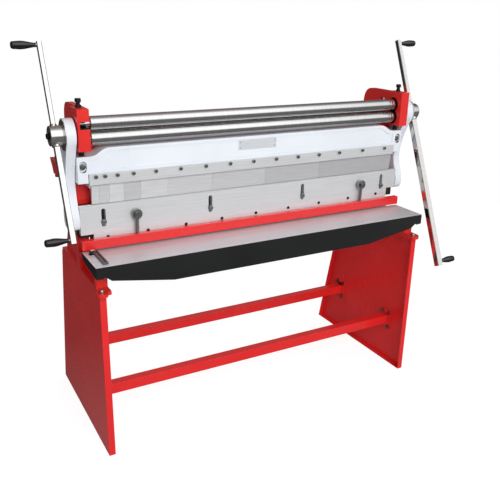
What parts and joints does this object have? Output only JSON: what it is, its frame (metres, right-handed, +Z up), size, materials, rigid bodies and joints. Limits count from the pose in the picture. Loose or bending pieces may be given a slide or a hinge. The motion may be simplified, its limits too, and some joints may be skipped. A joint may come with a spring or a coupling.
{
  "type": "sheet metal brake",
  "caption": "Hand-cranked sheet metal machine on a folded stand: table shear at the bottom, finger brake in the middle, slip rolls on top, geared crank levers at both ends.",
  "frame": {"origin": "on the floor, at the middle of the machine's footprint box", "axes": "+X along the machine to the operator's right, +Y from the operator's side to the rear, +Z up"},
  "size_m": [1.7398, 0.7597, 1.4759],
  "materials": {
    "red_paint": "gloss enamel over castings and folded sheet",
    "white_paint": "gloss enamel",
    "table_steel": "machined top brushed along its length, black painted front and underside",
    "ground_steel": "surface ground",
    "chromed_steel": "polished",
    "zinc_steel": "zinc plated",
    "dark_steel": "black oxide",
    "plate_alloy": "anodised blank plate",
    "black_plastic": "gloss phenolic"
  },
  "bodies": {
    "root": {"front_cross_bar": "red_paint", "rear_cross_bar": "red_paint", "bed_table": "table_steel", "lower_blade": "ground_steel", "side_gauge": "dark_steel", "upper_beam": "white_paint", "name_plate": "plate_alloy", "clamp_bar": "ground_steel", "roll_tie_bar": "red_paint", "finger_die_1": "ground_steel", "finger_die_2": "ground_steel", "finger_die_3": "ground_steel", "finger_die_4": "ground_steel", "finger_die_5": "ground_steel", "finger_die_6": "ground_steel", "finger_die_7": "ground_steel", "finger_die_8": "ground_steel", "finger_die_9": "ground_steel", "stand_panel_left": "red_paint", "stand_panel_right": "red_paint", "side_frame_left": "red_paint", "side_frame_right": "red_paint", "beam_bolt_left": "zinc_steel", "beam_bolt_right": "zinc_steel"},
    "crank": {"lower_roll": "chromed_steel", "lower_roll_gear": "dark_steel", "crank_hub_left": "chromed_steel", "crank_hub_right": "chromed_steel", "upper_arm_left": "chromed_steel", "upper_arm_right": "chromed_steel", "lower_lever_left": "chromed_steel", "lower_lever_right": "chromed_steel"},
    "ram": {"ram_beam": "dark_steel", "die_plate": "ground_steel", "upper_blade": "ground_steel", "connecting_arm_left": "white_paint", "connecting_arm_right": "white_paint", "arm_pin_left": "zinc_steel", "arm_pin_right": "zinc_steel", "hold_down_post_left": "zinc_steel", "hold_down_post_right": "zinc_steel", "hold_down_bolt_left": "zinc_steel", "hold_down_bolt_right": "zinc_steel"},
    "hold_down": {"hold_down_bar": "red_paint"},
    "upper_roll": {"upper_roll": "chromed_steel", "upper_roll_gear": "dark_steel"},
    "bending_slides": {"bending_roll_slide_left": "dark_steel", "bending_roll_slide_right": "dark_steel"},
    "bending_roll": {"bending_roll": "chromed_steel"},
    "upper_grip_left": {"upper_grip_left": "black_plastic"},
    "lower_grip_left": {"lower_grip_left": "black_plastic"},
    "top_screw_left": {"top_screw_left": "dark_steel"},
    "jack_screw_left": {"jack_screw_left": "dark_steel"},
    "rear_screw_left": {"rear_screw_left": "dark_steel"},
    "upper_grip_right": {"upper_grip_right": "black_plastic"},
    "lower_grip_right": {"lower_grip_right": "black_plastic"},
    "top_screw_right": {"top_screw_right": "dark_steel"},
    "jack_screw_right": {"jack_screw_right": "dark_steel"},
    "rear_screw_right": {"rear_screw_right": "dark_steel"}
  },
  "joints": [
    {"name": "crank_turn", "type": "hinge", "parent": "root", "child": "crank", "pos_m": [0, -0.0941, 1.1615], "axis": [1, 0, 0], "range_deg": [-180, 0]},
    {"name": "ram_stroke", "type": "slide", "parent": "root", "child": "ram", "axis": [0, 0, -1], "range_m": [0, 0.034]},
    {"name": "hold_down_stroke", "type": "slide", "parent": "root", "child": "hold_down", "axis": [0, 0, -1], "range_m": [0, 0.0055]},
    {"name": "upper_roll_spin", "type": "hinge", "parent": "root", "child": "upper_roll", "pos_m": [0, -0.0941, 1.2135], "axis": [1, 0, 0], "range_deg": [0, 180]},
    {"name": "bending_roll_lift", "type": "slide", "parent": "root", "child": "bending_slides", "axis": [0, 0, 1], "range_m": [0, 0.03]},
    {"name": "bending_roll_spin", "type": "hinge", "parent": "bending_slides", "child": "bending_roll", "pos_m": [0, -0.0181, 1.1803], "axis": [1, 0, 0], "continuous": true},
    {"name": "upper_grip_left_spin", "type": "hinge", "parent": "crank", "child": "upper_grip_left", "pos_m": [-0.8276, 0.02903, 1.46169], "axis": [1, 0, 0], "continuous": true},
    {"name": "lower_grip_left_spin", "type": "hinge", "parent": "crank", "child": "lower_grip_left", "pos_m": [-0.8276, -0.23446, 0.85569], "axis": [1, 0, 0], "continuous": true},
    {"name": "top_screw_left_turn", "type": "hinge", "parent": "root", "child": "top_screw_left", "pos_m": [-0.6935, -0.0941, 1.268], "axis": [0, 0, 1], "continuous": true},
    {"name": "jack_screw_left_turn", "type": "hinge", "parent": "root", "child": "jack_screw_left", "pos_m": [-0.6935, -0.0941, 1.115], "axis": [0, 0, 1], "continuous": true},
    {"name": "rear_screw_left_turn", "type": "hinge", "parent": "root", "child": "rear_screw_left", "pos_m": [-0.694, 0.2859, 0.966], "axis": [0, 0, 1], "continuous": true},
    {"name": "upper_grip_right_spin", "type": "hinge", "parent": "crank", "child": "upper_grip_right", "pos_m": [0.8276, 0.02792, 1.45912], "axis": [1, 0, 0], "continuous": true},
    {"name": "lower_grip_right_spin", "type": "hinge", "parent": "crank", "child": "lower_grip_right", "pos_m": [0.8276, -0.3629, 0.56031], "axis": [1, 0, 0], "continuous": true},
    {"name": "top_screw_right_turn", "type": "hinge", "parent": "root", "child": "top_screw_right", "pos_m": [0.6935, -0.0941, 1.268], "axis": [0, 0, 1], "continuous": true},
    {"name": "jack_screw_right_turn", "type": "hinge", "parent": "root", "child": "jack_screw_right", "pos_m": [0.6935, -0.0941, 1.115], "axis": [0, 0, 1], "continuous": true},
    {"name": "rear_screw_right_turn", "type": "hinge", "parent": "root", "child": "rear_screw_right", "pos_m": [0.694, 0.2859, 0.966], "axis": [0, 0, 1], "continuous": true}
  ],
  "couplings": [
    {"joint": "ram_stroke", "follows": "crank_turn", "m_per_rad": -0.010823},
    {"joint": "hold_down_stroke", "follows": "crank_turn", "m_per_rad": -0.0017507},
    {"joint": "upper_roll_spin", "follows": "crank_turn", "ratio": -1}
  ]
}
